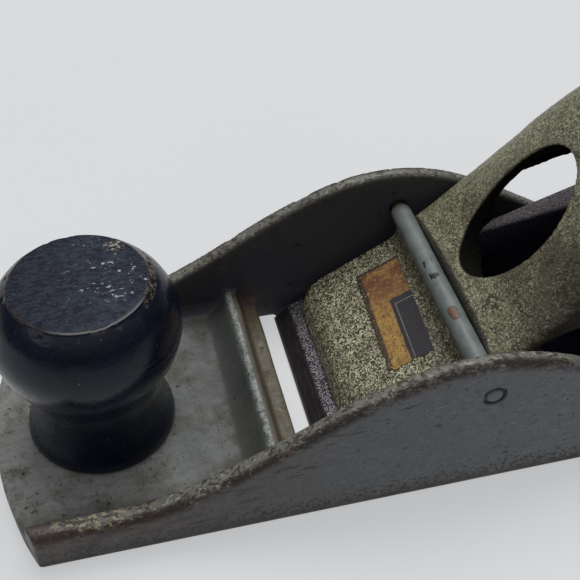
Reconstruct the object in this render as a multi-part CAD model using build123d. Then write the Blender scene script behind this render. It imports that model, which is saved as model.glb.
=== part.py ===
from build123d import *
from math import cos, pi, radians, sin, tan
import os

# Frame, in millimetres: X runs from toe (-) to heel (+), Y across, Z up.
# The sole lies on Z = 0 and the origin is at the middle of the sole.

# Body casting
BODY_LENGTH = 178.0
BODY_WIDTH = 51.0
END_BOW = 5.8            # how far the toe and heel bow out beyond their corners
FLOOR_THICK = 4.4
RAIL_HEIGHT = 8.6        # side height at the toe and the heel
CROWN_HEIGHT = 31.6      # side height beside the lever cap
CROWN_X = -11.1
CROWN_HALF_SPAN = 60.0
WALL_AT_FLOOR = 3.4
WALL_AT_RIM = 2.6
FLOOR_FILLET = 2.6
RIM_ROUND = 0.9
SOLE_CHAMFER = 0.4

# Ridge across the floor, in front of the mouth
RIDGE_TOE_X = -47.6
RIDGE_CREST_X = -43.2
RIDGE_CREST_WIDTH = 1.9
RIDGE_BACK_X = -40.4
RIDGE_HEIGHT = 8.8

# Mouth and bed
BED_ANGLE = 20.0
MOUTH_FRONT_X = -37.2
MOUTH_REAR_X = -33.1
MOUTH_HALF_WIDTH = 21.9
BED_END_X = -8.0
REST_FRONT_X = 23.5
REST_REAR_X = 30.0
REST_HALF_WIDTH = 17.0
REST_CORNER = 1.0
WEB_LENGTH = 13.0         # web behind the rest
WEB_THICK = 5.0
BED_GAP = 0.03

# Cutter
EDGE_X = -33.6
EDGE_Z = 0.4
CUTTER_WIDTH = 41.3
CUTTER_LENGTH = 120.0
CUTTER_THICK = 1.8
BEVEL_ANGLE = 25.0
CUTTER_CORNER = 7.0

# Cross rod
ROD_X = -8.5
ROD_Z = 23.45
ROD_DIAMETER = 3.97
ROD_SHOULDER = 22.45           # half length of the thick part, between the side walls
TENON_DIAMETER = 3.0           # the ends are turned down where they pass through the walls
ROD_END_CHAMFER = 0.35
ROD_FIT_GAP = 0.01
ROD_SEAT_GAP = 0.03
ROD_MOUTH_RADIUS = 1.9        # shallow recess round each end of the rod
ROD_MOUTH_DEPTH = 0.4

# Lever cap
CAP_HALF_WIDTH = 20.5
CAP_FRONT_CORNER = 5.5
CAP_LIP_X = -28.8
CAP_LIP_GAP = 0.03
PLATE_START = (-25.4, 9.3)     # top of the nose, where the flat front plate begins
PLATE_END = (-10.6, 18.0)      # where the plate turns up towards the rod
SHELL_THICK = 2.4
ARCH_POWER = 2.2
# Stations along the palm dome: x, half width, height of the lower edge, height of the crown
DOME = (
    (-6.6, 20.5, 21.6, 25.6),
    (-2.6, 20.5, 24.6, 29.6),
    (2.4, 20.5, 28.6, 36.2),
    (8.4, 20.5, 31.0, 45.8),
    (14.4, 20.5, 32.6, 54.6),
    (21.4, 20.5, 34.4, 60.2),
    (29.4, 19.9, 36.2, 60.2),
    (37.4, 18.0, 37.8, 55.4),
    (43.4, 14.8, 39.0, 49.2),
    (47.4, 11.0, 39.8, 44.6),
)
THUMB_HOLE_X = 3.2
THUMB_HOLE_Y = 0.7             # the core sat a little to one side
THUMB_HOLE_Z = 38.2
THUMB_HOLE_SLOPE = 56.0
THUMB_HOLE_HALF_LENGTH = 13.4
THUMB_HOLE_HALF_WIDTH = 8.2

# Clamping screw and wheel, on an axis square to the cutter
SCREW_STATION = 72.0           # distance of the axis from the cutting edge, along the bed
SCREW_DIAMETER = 7.0
SCREW_ROOT_DIAMETER = 6.0
SCREW_PITCH = 1.25
PAD_DIAMETER = 9.0
PAD_HEIGHT = 1.6
PAD_GAP = 0.03
WHEEL_DIAMETER = 22.4
WHEEL_THICK = 6.0
WHEEL_HUB_DIAMETER = 11.0
WHEEL_HUB_HEIGHT = 0.9
WHEEL_RIM_WIDTH = 2.4
WHEEL_DISH = 0.8
WHEEL_NOTCHES = 30
WHEEL_NOTCH_RADIUS = 0.7
WHEEL_BORE_GAP = 0.02
BOSS_RISE = 12.6               # underside of the threaded bridge above the cutter
BRIDGE_THICK = 5.2
BRIDGE_HALF_LENGTH = 5.0
BOSS_RADIUS = 6.5
BOSS_HEIGHT = 6.6
SCREW_RUNNING_GAP = 0.05
SCREW_RISE = 20.5              # top of the screw above the cutter

# Label on the lever cap
LABEL_LENGTH = 24.3
LABEL_WIDTH = 9.2
LABEL_THICK = 0.15
LABEL_Y = 3.3
LABEL_START = 7.3              # distance up the plate from its front edge
LABEL_TURN = -3.0              # stuck on slightly askew

# Front knob
KNOB_X = -70.0
KNOB_FOOT_RADIUS = 12.9
KNOB_WAIST_RADIUS = 11.3
KNOB_BALL_RADIUS = 15.5
KNOB_TOP_RADIUS = 11.1
KNOB_WAIST_Z = 14.2
KNOB_BALL_Z = 27.6
KNOB_TOP_Z = 38.1
KNOB_EDGE_ROUND = 0.5
STUD_DIAMETER = 6.4
STUD_ROOT_DIAMETER = 5.5
STUD_PITCH = 1.3
STUD_BOTTOM = 1.4
STUD_TOP = 24.0
STUD_GAP = 0.02

BED = radians(BED_ANGLE)


def along_bed(distance, rise):
    """A point in the X-Z plane, measured from the cutting edge along and square to the bed."""
    return (
        EDGE_X + distance * cos(BED) - rise * sin(BED),
        EDGE_Z + distance * sin(BED) + rise * cos(BED),
    )


def bed_z(x):
    """Height of the bed just under the cutter at a given X."""
    return EDGE_Z + (x - EDGE_X) * tan(BED) - BED_GAP / cos(BED)


def face_from(plane, edges):
    """A face bounded by edges drawn in the plane's own axes."""
    return make_face([plane * edge for edge in edges])


def side_profile(points, half_width):
    """A closed X-Z polygon pushed out both ways across the plane."""
    outline = make_face(Plane.XZ * Polyline(*points, close=True))
    return extrude(outline, half_width, both=True)


def rim_height(x):
    """Height of the side wall: a raised cosine swelling out of the low rails."""
    distance = min(abs(x - CROWN_X), CROWN_HALF_SPAN)
    swell = cos(pi * distance / (2 * CROWN_HALF_SPAN)) ** 2
    return RAIL_HEIGHT + (CROWN_HEIGHT - RAIL_HEIGHT) * swell


def body_plan():
    """Plan outline of the casting, bowed at the toe and the heel."""
    half = BODY_LENGTH / 2
    corner = half - END_BOW
    side = BODY_WIDTH / 2
    plan = make_face([
        Line((-corner, -side), (corner, -side)),
        ThreePointArc((corner, -side), (half, 0), (corner, side)),
        Line((corner, side), (-corner, side)),
        ThreePointArc((-corner, side), (-half, 0), (-corner, -side)),
    ])
    return extrude(plan, CROWN_HEIGHT + 5)


def body_blank():
    """Straight bar with the height profile of the side walls."""
    over = BODY_LENGTH / 2 + 5
    steps = [-over + 2 * over * i / 20 for i in range(21)]
    rim = Spline(*[(x, rim_height(x)) for x in steps], tangents=[(1, 0), (1, 0)])
    profile = face_from(Plane.XZ, [
        Line((-over, 0), (over, 0)),
        Line((over, 0), (over, RAIL_HEIGHT)),
        rim,
        Line((-over, RAIL_HEIGHT), (-over, 0)),
    ])
    return extrude(profile, BODY_WIDTH / 2, both=True)


def body_trough():
    """Space between the walls, a little wider at the top than at the floor."""
    low = BODY_WIDTH / 2 - WALL_AT_FLOOR
    high = BODY_WIDTH / 2 - WALL_AT_RIM
    top = CROWN_HEIGHT + 6
    section = make_face(
        Plane.YZ * Polyline((-low, FLOOR_THICK), (low, FLOOR_THICK), (high, top), (-high, top), close=True)
    )
    trough = extrude(section, BODY_LENGTH, both=True)
    floor_edges = trough.edges().filter_by(Axis.X).group_by(Axis.Z)[0]
    return fillet(floor_edges, FLOOR_FILLET)


def floor_ridge():
    crest_rear = RIDGE_CREST_X + RIDGE_CREST_WIDTH
    low = FLOOR_THICK - 1
    section = face_from(Plane.XZ, [
        Line((RIDGE_TOE_X, low), (RIDGE_TOE_X, FLOOR_THICK)),
        ThreePointArc(
            (RIDGE_TOE_X, FLOOR_THICK),
            (RIDGE_CREST_X - 1.6, FLOOR_THICK + 1.7),
            (RIDGE_CREST_X, RIDGE_HEIGHT),
        ),
        Line((RIDGE_CREST_X, RIDGE_HEIGHT), (crest_rear, RIDGE_HEIGHT)),
        Line((crest_rear, RIDGE_HEIGHT), (RIDGE_BACK_X, FLOOR_THICK)),
        Line((RIDGE_BACK_X, FLOOR_THICK), (RIDGE_BACK_X, low)),
        Line((RIDGE_BACK_X, low), (RIDGE_TOE_X, low)),
    ])
    ridge = extrude(section, BODY_WIDTH / 2 - 1.5, both=True)
    crest = ridge.edges().filter_by(Axis.Y).group_by(Axis.Z)[-1]
    return fillet(crest, 0.6)


def bed_ramp():
    inner = FLOOR_THICK - 2
    foot = MOUTH_REAR_X + 8
    return side_profile(
        [(foot, inner), (BED_END_X, inner), (BED_END_X, bed_z(BED_END_X)), (foot, bed_z(foot))],
        BODY_WIDTH / 2 - 1.5,
    )


def rear_rest():
    """Upright rest that carries the upper part of the cutter, with a web behind it."""
    inner = FLOOR_THICK - 2
    post = side_profile(
        [
            (REST_FRONT_X, inner),
            (REST_REAR_X, inner),
            (REST_REAR_X, bed_z(REST_REAR_X)),
            (REST_FRONT_X, bed_z(REST_FRONT_X)),
        ],
        REST_HALF_WIDTH,
    )
    post = chamfer(post.edges().filter_by(Axis.Z), REST_CORNER)
    foot = REST_REAR_X - 1
    web = side_profile(
        [(foot, inner), (foot + WEB_LENGTH + 2, inner), (foot, bed_z(REST_REAR_X) - 5)],
        WEB_THICK / 2,
    )
    return post + web


def mouth_cut():
    """Opening for the cutting edge, with the bed running down into it."""
    top = FLOOR_THICK + 4
    return side_profile(
        [
            (MOUTH_FRONT_X, -1),
            (MOUTH_REAR_X, -1),
            (MOUTH_REAR_X, bed_z(MOUTH_REAR_X)),
            (BED_END_X, bed_z(BED_END_X)),
            (BED_END_X, bed_z(BED_END_X) + 6),
            (MOUTH_FRONT_X + 3, top),
            (MOUTH_FRONT_X, top),
        ],
        MOUTH_HALF_WIDTH,
    )


def cross_bore(diameter):
    bore = Cylinder(diameter / 2, BODY_WIDTH + 10)
    return Pos(ROD_X, 0, ROD_Z) * Rot(90, 0, 0) * bore


def rod_mouths():
    """Shallow recesses in the outer faces, round the ends of the cross rod."""
    mouth = Cylinder(ROD_MOUTH_RADIUS, 2 * ROD_MOUTH_DEPTH)
    side = BODY_WIDTH / 2
    return [Pos(ROD_X, y, ROD_Z) * Rot(90, 0, 0) * mouth for y in (-side, side)]


def soften_rim(shape):
    """Rounds the top edges of the side walls."""
    rims = [
        e for e in shape.edges()
        if e.bounding_box().size.X > 5 and e.bounding_box().min.Z > FLOOR_THICK + 3.5
    ]
    return fillet(rims, RIM_ROUND)


def make_body():
    shape = body_blank() - body_trough()
    shape = soften_rim(shape) & body_plan()
    shape += floor_ridge()
    shape += bed_ramp()
    shape += rear_rest()
    shape -= mouth_cut()
    shape -= cross_bore(TENON_DIAMETER + 2 * ROD_FIT_GAP)
    shape -= rod_mouths()
    stud_bore = Cylinder(
        STUD_DIAMETER / 2 + STUD_GAP, 10, align=(Align.CENTER, Align.CENTER, Align.MIN)
    )
    shape -= Pos(KNOB_X, 0, STUD_BOTTOM) * stud_bore
    sole_edges = shape.faces().sort_by(Axis.Z)[0].outer_wire().edges()
    return chamfer(sole_edges, SOLE_CHAMFER)


def make_cross_rod():
    tenons = Cylinder(TENON_DIAMETER / 2, BODY_WIDTH)
    tenons = chamfer(tenons.edges(), ROD_END_CHAMFER)
    rod = tenons + Cylinder(ROD_DIAMETER / 2, 2 * ROD_SHOULDER)
    return Pos(ROD_X, 0, ROD_Z) * Rot(90, 0, 0) * rod


def make_cutter():
    bevel_run = CUTTER_THICK / tan(radians(BEVEL_ANGLE))
    blade = side_profile(
        [
            along_bed(0, 0),
            along_bed(CUTTER_LENGTH, 0),
            along_bed(CUTTER_LENGTH, CUTTER_THICK),
            along_bed(bevel_run, CUTTER_THICK),
        ],
        CUTTER_WIDTH / 2,
    )
    upper = Vector(cos(BED), 0, sin(BED))
    square = Vector(-sin(BED), 0, cos(BED))
    corners = [
        e for e in blade.edges()
        if abs(abs(e.tangent_at(0.5).dot(square)) - 1) < 1e-6 and e.center().dot(upper) > 60
    ]
    return fillet(corners, CUTTER_CORNER)


def dome_section(x, half_width, low, crown):
    """Arch-shaped slice of the palm dome: a flat base under a superellipse."""
    power = 2 / ARCH_POWER
    points = []
    for i in range(13):
        angle = pi * i / 12
        c = cos(angle)
        across = half_width * abs(c) ** power * (1 if c >= 0 else -1)
        up = low + (crown - low) * max(sin(angle), 0) ** power
        points.append((across, up))
    arch = Spline(*points)
    base = Line(points[-1], points[0])
    return face_from(Plane(origin=(x, 0, 0), x_dir=(0, 1, 0), z_dir=(1, 0, 0)), [arch, base])


def inner_stations():
    """The dome stations moved inwards by the shell thickness, square to the crown line."""
    inner = []
    for i, (x, half_width, low, crown) in enumerate(DOME):
        ahead = DOME[min(i + 1, len(DOME) - 1)]
        behind = DOME[max(i - 1, 0)]
        run = ahead[0] - behind[0]
        rise = ahead[3] - behind[3]
        length = (run ** 2 + rise ** 2) ** 0.5
        inner.append((
            x + SHELL_THICK * rise / length,
            max(half_width - SHELL_THICK, 3),
            low - 3,
            crown - SHELL_THICK * run / length,
        ))
    return inner[2:-1]


def dome_shell():
    outer = loft([dome_section(*s) for s in DOME])
    inner = loft([dome_section(*s) for s in inner_stations()])
    return outer - inner


def cap_plate():
    """Front plate: a nose bearing on the cutter, a flat top, then a saddle under the rod."""
    nose = CAP_LIP_GAP + CUTTER_THICK
    lip = along_bed((CAP_LIP_X - EDGE_X) / cos(BED) + 0.7, nose)
    heel = along_bed((CAP_LIP_X - EDGE_X) / cos(BED) + 5.2, nose)
    section = face_from(Plane.XZ, [
        Line(heel, lip),
        ThreePointArc(lip, (-27.9, 7.4), PLATE_START),
        Line(PLATE_START, PLATE_END),
        ThreePointArc(PLATE_END, (-9.8, 19.0), (-9.4, 21.2)),
        Line((-9.4, 21.2), (-6.4, 22.4)),
        Line((-6.4, 22.4), (0.9, 27.2)),
        Line((0.9, 27.2), (1.6, 24.4)),
        ThreePointArc((1.6, 24.4), (-5.4, 17.6), (-10.4, 14.2)),
        Line((-10.4, 14.2), heel),
    ])
    plate = extrude(section, CAP_HALF_WIDTH, both=True)
    return plate & cap_plan()


def cap_plan():
    """Plan outline of the front plate, with rounded front corners."""
    outline = Rectangle(60, 2 * CAP_HALF_WIDTH)
    outline = Pos(CAP_LIP_X - 0.6 + 30, 0) * outline
    front = outline.vertices().group_by(Axis.X)[0]
    return extrude(fillet(front, CAP_FRONT_CORNER), 80)


def thumb_hole():
    """Egg-shaped opening through the front slope of the dome."""
    slope = radians(THUMB_HOLE_SLOPE)
    face = Plane(
        origin=(THUMB_HOLE_X, THUMB_HOLE_Y, THUMB_HOLE_Z),
        x_dir=(cos(slope), 0, sin(slope)),
        z_dir=(-sin(slope), 0, cos(slope)),
    )
    hole = Ellipse(THUMB_HOLE_HALF_LENGTH, THUMB_HOLE_HALF_WIDTH)
    return face * extrude(hole, 9, both=True)


def screw_plane():
    x, z = along_bed(SCREW_STATION, CUTTER_THICK)
    return Plane(origin=(x, 0, z), x_dir=(cos(BED), 0, sin(BED)), z_dir=(-sin(BED), 0, cos(BED)))


def threaded_bridge():
    """Web across the inside of the dome that carries the screw."""
    bar = Box(
        2 * BRIDGE_HALF_LENGTH,
        2 * CAP_HALF_WIDTH,
        BRIDGE_THICK,
        align=(Align.CENTER, Align.CENTER, Align.MIN),
    )
    boss = Cylinder(BOSS_RADIUS, BOSS_HEIGHT, align=(Align.CENTER, Align.CENTER, Align.MIN))
    bridge = screw_plane() * Pos(0, 0, BOSS_RISE) * (bar + boss)
    within = loft([dome_section(x, w - 1, low - 2, crown - 1) for x, w, low, crown in DOME])
    return bridge & within


def make_lever_cap():
    cap = dome_shell() + cap_plate()
    cap += threaded_bridge()
    cap -= thumb_hole()
    cap -= cross_bore(ROD_DIAMETER + 2 * ROD_SEAT_GAP)
    bore = Cylinder(SCREW_DIAMETER / 2 + SCREW_RUNNING_GAP, 60)
    return cap - screw_plane() * bore


def threaded_rod(diameter, root, pitch, length):
    """Round bar with thread-like grooves, standing on the X-Y plane."""
    radius = diameter / 2
    depth = (diameter - root) / 2
    points = [(0, 0), (radius, 0)]
    turns = int((length - 1.0) / pitch)
    for i in range(turns):
        base = 0.5 + i * pitch
        points += [
            (radius, base),
            (radius - depth, base + pitch * 0.45),
            (radius - depth, base + pitch * 0.55),
            (radius, base + pitch * 0.98),
        ]
    points += [(radius, length - 0.4), (radius - 0.4, length), (0, length)]
    section = make_face(Plane.XZ * Polyline(*points, close=True))
    return revolve(section, Axis.Z)


def make_cap_screw():
    """Screw with a flat pad at its foot; the pad presses on the cutter."""
    pad = Cylinder(PAD_DIAMETER / 2, PAD_HEIGHT, align=(Align.CENTER, Align.CENTER, Align.MIN))
    pad = chamfer(pad.edges(), 0.3)
    neck_top = PAD_HEIGHT + WHEEL_THICK + WHEEL_HUB_HEIGHT
    neck = Pos(0, 0, PAD_HEIGHT / 2) * Cylinder(
        SCREW_DIAMETER / 2,
        neck_top - PAD_HEIGHT / 2,
        align=(Align.CENTER, Align.CENTER, Align.MIN),
    )
    thread = threaded_rod(
        SCREW_DIAMETER, SCREW_ROOT_DIAMETER, SCREW_PITCH, SCREW_RISE - neck_top
    )
    screw = pad + neck + Pos(0, 0, neck_top) * thread
    return screw_plane() * Pos(0, 0, PAD_GAP) * screw


def make_cap_wheel():
    """Knurled finger wheel with a low hub on both faces."""
    half = WHEEL_DIAMETER / 2
    hub = WHEEL_HUB_DIAMETER / 2
    disc = Cylinder(half, WHEEL_THICK, align=(Align.CENTER, Align.CENTER, Align.MIN))
    disc = chamfer(disc.edges(), 0.6)
    dish = Cylinder(half - WHEEL_RIM_WIDTH, 3) - Cylinder(hub, 3)
    disc -= Pos(0, 0, WHEEL_THICK - WHEEL_DISH + 1.5) * dish
    collar = Cylinder(hub, WHEEL_HUB_HEIGHT + 1, align=(Align.CENTER, Align.CENTER, Align.MIN))
    disc += Pos(0, 0, WHEEL_THICK - 1) * collar
    notch = Cylinder(WHEEL_NOTCH_RADIUS, WHEEL_THICK * 3)
    disc -= PolarLocations(half + 0.15, WHEEL_NOTCHES) * notch
    disc -= Cylinder(SCREW_DIAMETER / 2 + WHEEL_BORE_GAP, WHEEL_THICK * 4)
    lift = PAD_GAP + PAD_HEIGHT + WHEEL_BORE_GAP
    return screw_plane() * Pos(0, 0, lift) * disc


def make_cap_label():
    """Thin label stuck on the flat front plate."""
    (x0, z0), (x1, z1) = PLATE_START, PLATE_END
    run, rise = x1 - x0, z1 - z0
    length = (run ** 2 + rise ** 2) ** 0.5
    middle = LABEL_START + LABEL_WIDTH / 2
    label = Box(
        LABEL_WIDTH, LABEL_LENGTH, LABEL_THICK, align=(Align.CENTER, Align.CENTER, Align.MIN)
    )
    label = fillet(label.edges().filter_by(Axis.Z), 0.5)
    plate = Plane(
        origin=(x0 + run / length * middle, LABEL_Y, z0 + rise / length * middle),
        x_dir=(run, 0, rise),
        z_dir=(-rise, 0, run),
    )
    return plate * Rot(0, 0, LABEL_TURN) * label


def make_front_knob():
    """Turned knob: spreading foot, narrow waist, round ball and a flat top."""
    foot_top = FLOOR_THICK + 2.2
    section = face_from(Plane.XZ, [
        Line((0, FLOOR_THICK), (KNOB_FOOT_RADIUS - 0.7, FLOOR_THICK)),
        ThreePointArc(
            (KNOB_FOOT_RADIUS - 0.7, FLOOR_THICK),
            (KNOB_FOOT_RADIUS, FLOOR_THICK + 1.0),
            (KNOB_FOOT_RADIUS - 0.2, foot_top),
        ),
        Spline(
            (KNOB_FOOT_RADIUS - 0.2, foot_top),
            (KNOB_WAIST_RADIUS, KNOB_WAIST_Z),
            (KNOB_BALL_RADIUS - 2.6, KNOB_BALL_Z - 7.3),
            (KNOB_BALL_RADIUS, KNOB_BALL_Z),
            (KNOB_BALL_RADIUS - 1.4, KNOB_BALL_Z + 6.6),
            (KNOB_TOP_RADIUS, KNOB_TOP_Z - KNOB_EDGE_ROUND),
            tangents=[(-0.4, 1), (-0.75, 0.65)],
        ),
        ThreePointArc(
            (KNOB_TOP_RADIUS, KNOB_TOP_Z - KNOB_EDGE_ROUND),
            (KNOB_TOP_RADIUS - 0.3 * KNOB_EDGE_ROUND, KNOB_TOP_Z - 0.3 * KNOB_EDGE_ROUND),
            (KNOB_TOP_RADIUS - KNOB_EDGE_ROUND, KNOB_TOP_Z),
        ),
        Line((KNOB_TOP_RADIUS - KNOB_EDGE_ROUND, KNOB_TOP_Z), (0, KNOB_TOP_Z)),
        Line((0, KNOB_TOP_Z), (0, FLOOR_THICK)),
    ])
    knob = revolve(section, Axis.Z)
    bore = Cylinder(
        STUD_DIAMETER / 2 + STUD_GAP, STUD_TOP + 0.4, align=(Align.CENTER, Align.CENTER, Align.MIN)
    )
    return Pos(KNOB_X, 0, 0) * (knob - bore)


def make_knob_stud():
    stud = threaded_rod(STUD_DIAMETER, STUD_ROOT_DIAMETER, STUD_PITCH, STUD_TOP - STUD_BOTTOM)
    return Pos(KNOB_X, 0, STUD_BOTTOM) * stud


PIECES = {
    "body": make_body,
    "cross_rod": make_cross_rod,
    "cutter": make_cutter,
    "lever_cap": make_lever_cap,
    "cap_screw": make_cap_screw,
    "cap_wheel": make_cap_wheel,
    "cap_label": make_cap_label,
    "front_knob": make_front_knob,
    "knob_stud": make_knob_stud,
}

os.makedirs("parts", exist_ok=True)
for name, make in PIECES.items():
    export_step(make(), "parts/" + name + ".step")
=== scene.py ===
"""Block plane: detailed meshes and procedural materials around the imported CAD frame.

All lengths below are millimetres in the CAD's row frame, X toe to heel, Y across, Z up,
and become metres only when a mesh is made.
"""
import math
from functools import reduce
from itertools import product

import bmesh
import bpy
import numpy as np
from mathutils import Matrix, Vector, noise


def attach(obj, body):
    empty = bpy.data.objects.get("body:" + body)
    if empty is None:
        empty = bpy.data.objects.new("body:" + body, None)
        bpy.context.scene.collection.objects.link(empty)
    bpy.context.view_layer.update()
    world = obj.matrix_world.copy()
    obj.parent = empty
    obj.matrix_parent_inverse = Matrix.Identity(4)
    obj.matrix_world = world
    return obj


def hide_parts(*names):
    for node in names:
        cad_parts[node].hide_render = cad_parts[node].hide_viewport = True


MM = 0.001
ON_AXIS = 1e-4      # radius of a ring of points that closes a surface on its axis

# Shapes shared with the CAD model
BED_ANGLE = math.radians(20.0)
EDGE_X, EDGE_Z = -33.6, 0.4
CUTTER_WIDTH, CUTTER_LENGTH, CUTTER_THICK = 41.3, 120.0, 1.8
BEVEL_ANGLE = math.radians(25.0)
CROWN_X, CROWN_HALF_SPAN = -11.1, 60.0
RAIL_HEIGHT, CROWN_HEIGHT = 8.6, 31.6
BODY_HALF_WIDTH = 25.5
ROD_X, ROD_Z, ROD_RADIUS = -8.5, 23.45, 1.985
ROD_SHOULDER, TENON_RADIUS = 22.45, 1.5
CHIP_Y, POCK_Y = -8.0, 2.8
KNOB_X = -70.0
FLOOR_TOP = 4.4
PLATE_START, PLATE_END = (-25.4, 9.3), (-10.6, 18.0)
CAP_HALF_WIDTH = 20.5
NOSE_X = -28.8
HOLE_CENTRE = (3.2, 0.7, 38.2)
SCREW_STATION, SCREW_RADIUS, SCREW_PITCH = 72.0, 3.5, 1.25


# ---- helpers

def clamp(x, low=0.0, high=1.0):
    return np.minimum(np.maximum(x, low), high)


def smooth(x, low, high):
    t = clamp((x - low) / (high - low))
    return t * t * (3 - 2 * t)


def fractal(points, scale, octaves=3):
    """Fractal noise, about -1 to 1, at each of the points."""
    return np.array([noise.fractal(p, 1.0, 2.0, octaves) for p in points * scale])


def rim_height(x):
    distance = np.minimum(np.abs(x - CROWN_X), CROWN_HALF_SPAN)
    swell = np.cos(math.pi * distance / (2 * CROWN_HALF_SPAN)) ** 2
    return RAIL_HEIGHT + (CROWN_HEIGHT - RAIL_HEIGHT) * swell


def add_object(name, data):
    obj = bpy.data.objects.new(name, data)
    bpy.context.scene.collection.objects.link(obj)
    return obj


def mesh_from(name, points, faces, flat=False):
    mesh = bpy.data.meshes.new(name)
    mesh.from_pydata((np.asarray(points) * MM).tolist(), [], faces)
    mesh.validate()
    if not flat:
        mesh.shade_smooth()
    return add_object(name, mesh)


def vectors(collection, name):
    flat = np.empty(len(collection) * 3)
    collection.foreach_get(name, flat)
    return flat.reshape(-1, 3)


def points_of(obj):
    return vectors(obj.data.vertices, "co") / MM


def normals_of(obj):
    return vectors(obj.data.vertex_normals, "vector")


def set_points(obj, points):
    obj.data.vertices.foreach_set("co", (points * MM).ravel())
    obj.data.update()


def bake(obj):
    """Replaces the object's mesh by the result of its modifiers."""
    graph = bpy.context.evaluated_depsgraph_get()
    mesh = bpy.data.meshes.new_from_object(obj.evaluated_get(graph))
    obj.modifiers.clear()
    old = obj.data
    obj.data = mesh
    bpy.data.meshes.remove(old)


def remesh(obj, voxel, smoothing):
    modifier = obj.modifiers.new("voxels", "REMESH")
    modifier.mode = "VOXEL"
    modifier.voxel_size = voxel * MM
    modifier.use_smooth_shade = True
    if smoothing:
        relax = obj.modifiers.new("relax", "SMOOTH")
        relax.factor = 0.5
        relax.iterations = smoothing
    bake(obj)
    obj.data.shade_smooth()


def combine(obj, tool, operation):
    modifier = obj.modifiers.new(operation, "BOOLEAN")
    modifier.operation = operation
    modifier.object = tool
    modifier.solver = "EXACT"
    bake(obj)
    bpy.data.objects.remove(tool)


def clean(obj, others=(), merge=False, close=False):
    """Joins others in, merges doubles, closes holes and turns the faces outwards."""
    build = bmesh.new()
    build.from_mesh(obj.data)
    for other in others:
        build.from_mesh(other.data)
        bpy.data.objects.remove(other)
    if merge:
        bmesh.ops.remove_doubles(build, verts=build.verts, dist=0.002 * MM)
    if close:
        bmesh.ops.holes_fill(build, edges=build.edges)
    bmesh.ops.recalc_face_normals(build, faces=build.faces)
    build.to_mesh(obj.data)
    build.free()
    if merge:
        obj.data.shade_smooth()
    return obj


def grid_faces(rows, columns, wrap):
    """Quads of a grid of points; wrap closes each row on itself."""
    near = np.arange(rows * columns).reshape(rows, columns)
    far = np.roll(near, -1, axis=1)
    quads = np.stack([near[:-1], far[:-1], far[1:], near[1:]], axis=-1)
    return quads[:, :columns if wrap else columns - 1].reshape(-1, 4).tolist()


def circle(segments):
    """Angles once around."""
    return np.arange(segments) * 2 * math.pi / segments


def ring(radius, z, angles):
    return np.stack([radius * np.cos(angles), radius * np.sin(angles), np.full(len(angles), z)], 1)


def lathe(name, profile, segments):
    """Surface of revolution about Z through a list of (radius, z); ends on the axis are closed."""
    angles = circle(segments)
    rings = [ring(max(radius, ON_AXIS), z, angles) for radius, z in profile]
    obj = mesh_from(name, np.concatenate(rings), grid_faces(len(profile), segments, True))
    return clean(obj, merge=True, close=True)


def prism(name, first, second):
    """Closed solid between two outlines with the same number of points."""
    count = len(first)
    faces = [tuple(range(count)), tuple(range(2 * count - 1, count - 1, -1))]
    faces += [(i, i + count, (i + 1) % count + count, (i + 1) % count) for i in range(count)]
    return clean(mesh_from(name, first + second, faces, flat=True))


def extrude_profile(name, outline):
    """Closed prism across the cap from an X-Z outline."""
    return prism(name, *([(x, y, z) for x, z in outline] for y in (-CAP_HALF_WIDTH, CAP_HALF_WIDTH)))


def sheet(name, points, columns):
    """Closed solid between two grids of points, the upper one first, joined around the border."""
    count = len(points) // 2
    rows = count // columns
    upper = grid_faces(rows, columns, False)
    lower = [[i + count for i in reversed(f)] for f in upper]
    index = np.arange(count).reshape(rows, columns)
    border = np.concatenate([index[0], index[1:, -1], index[-1, -2::-1], index[-2:0:-1, 0]]).tolist()
    wall = [(b, a, a + count, b + count) for a, b in zip(border, border[1:] + border[:1])]
    return mesh_from(name, points, upper + lower + wall)


def arc(centre, radius, start, end, count):
    return [
        (centre[0] + radius * math.cos(a), centre[1] + radius * math.sin(a))
        for a in np.radians(np.linspace(start, end, count))
    ]


def curve(points, count):
    """Points along a Catmull-Rom curve through the given points."""
    pts = np.array([points[0]] + list(points) + [points[-1]], float)
    out = []
    for i in range(1, len(pts) - 2):
        a, b, c, d = pts[i - 1:i + 3]
        for t in np.linspace(0, 1, count, endpoint=False):
            out.append(0.5 * (2 * b + (c - a) * t + (2 * a - 5 * b + 4 * c - d) * t ** 2
                              + (3 * b - a - 3 * c + d) * t ** 3))
    out.append(pts[-2])
    return [tuple(p) for p in out]


def sloped(origin, c, s):
    """Frame at a point whose X axis rises at the angle with cosine c and sine s."""
    tilt = Matrix(((c, 0, -s, 0), (0, 1, 0, 0), (s, 0, c, 0), (0, 0, 0, 1)))
    return Matrix.Translation(Vector(origin) * MM) @ tilt


def bed_point(distance, rise):
    """X and Z of a point so far up the bed from the cutting edge and so high above it."""
    c, s = math.cos(BED_ANGLE), math.sin(BED_ANGLE)
    return EDGE_X + distance * c - rise * s, EDGE_Z + distance * s + rise * c


def bed_matrix(distance, rise):
    """Frame on the bed: X up the cutter, Z square to it, at a distance from the cutting edge."""
    x, z = bed_point(distance, rise)
    return sloped((x, 0, z), math.cos(BED_ANGLE), math.sin(BED_ANGLE))


# ---- materials

def srgb(r, g, b):
    channel = [v / 255 for v in (r, g, b)]
    return [v / 12.92 if v <= 0.04045 else ((v + 0.055) / 1.055) ** 2.4 for v in channel] + [1.0]


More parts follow.
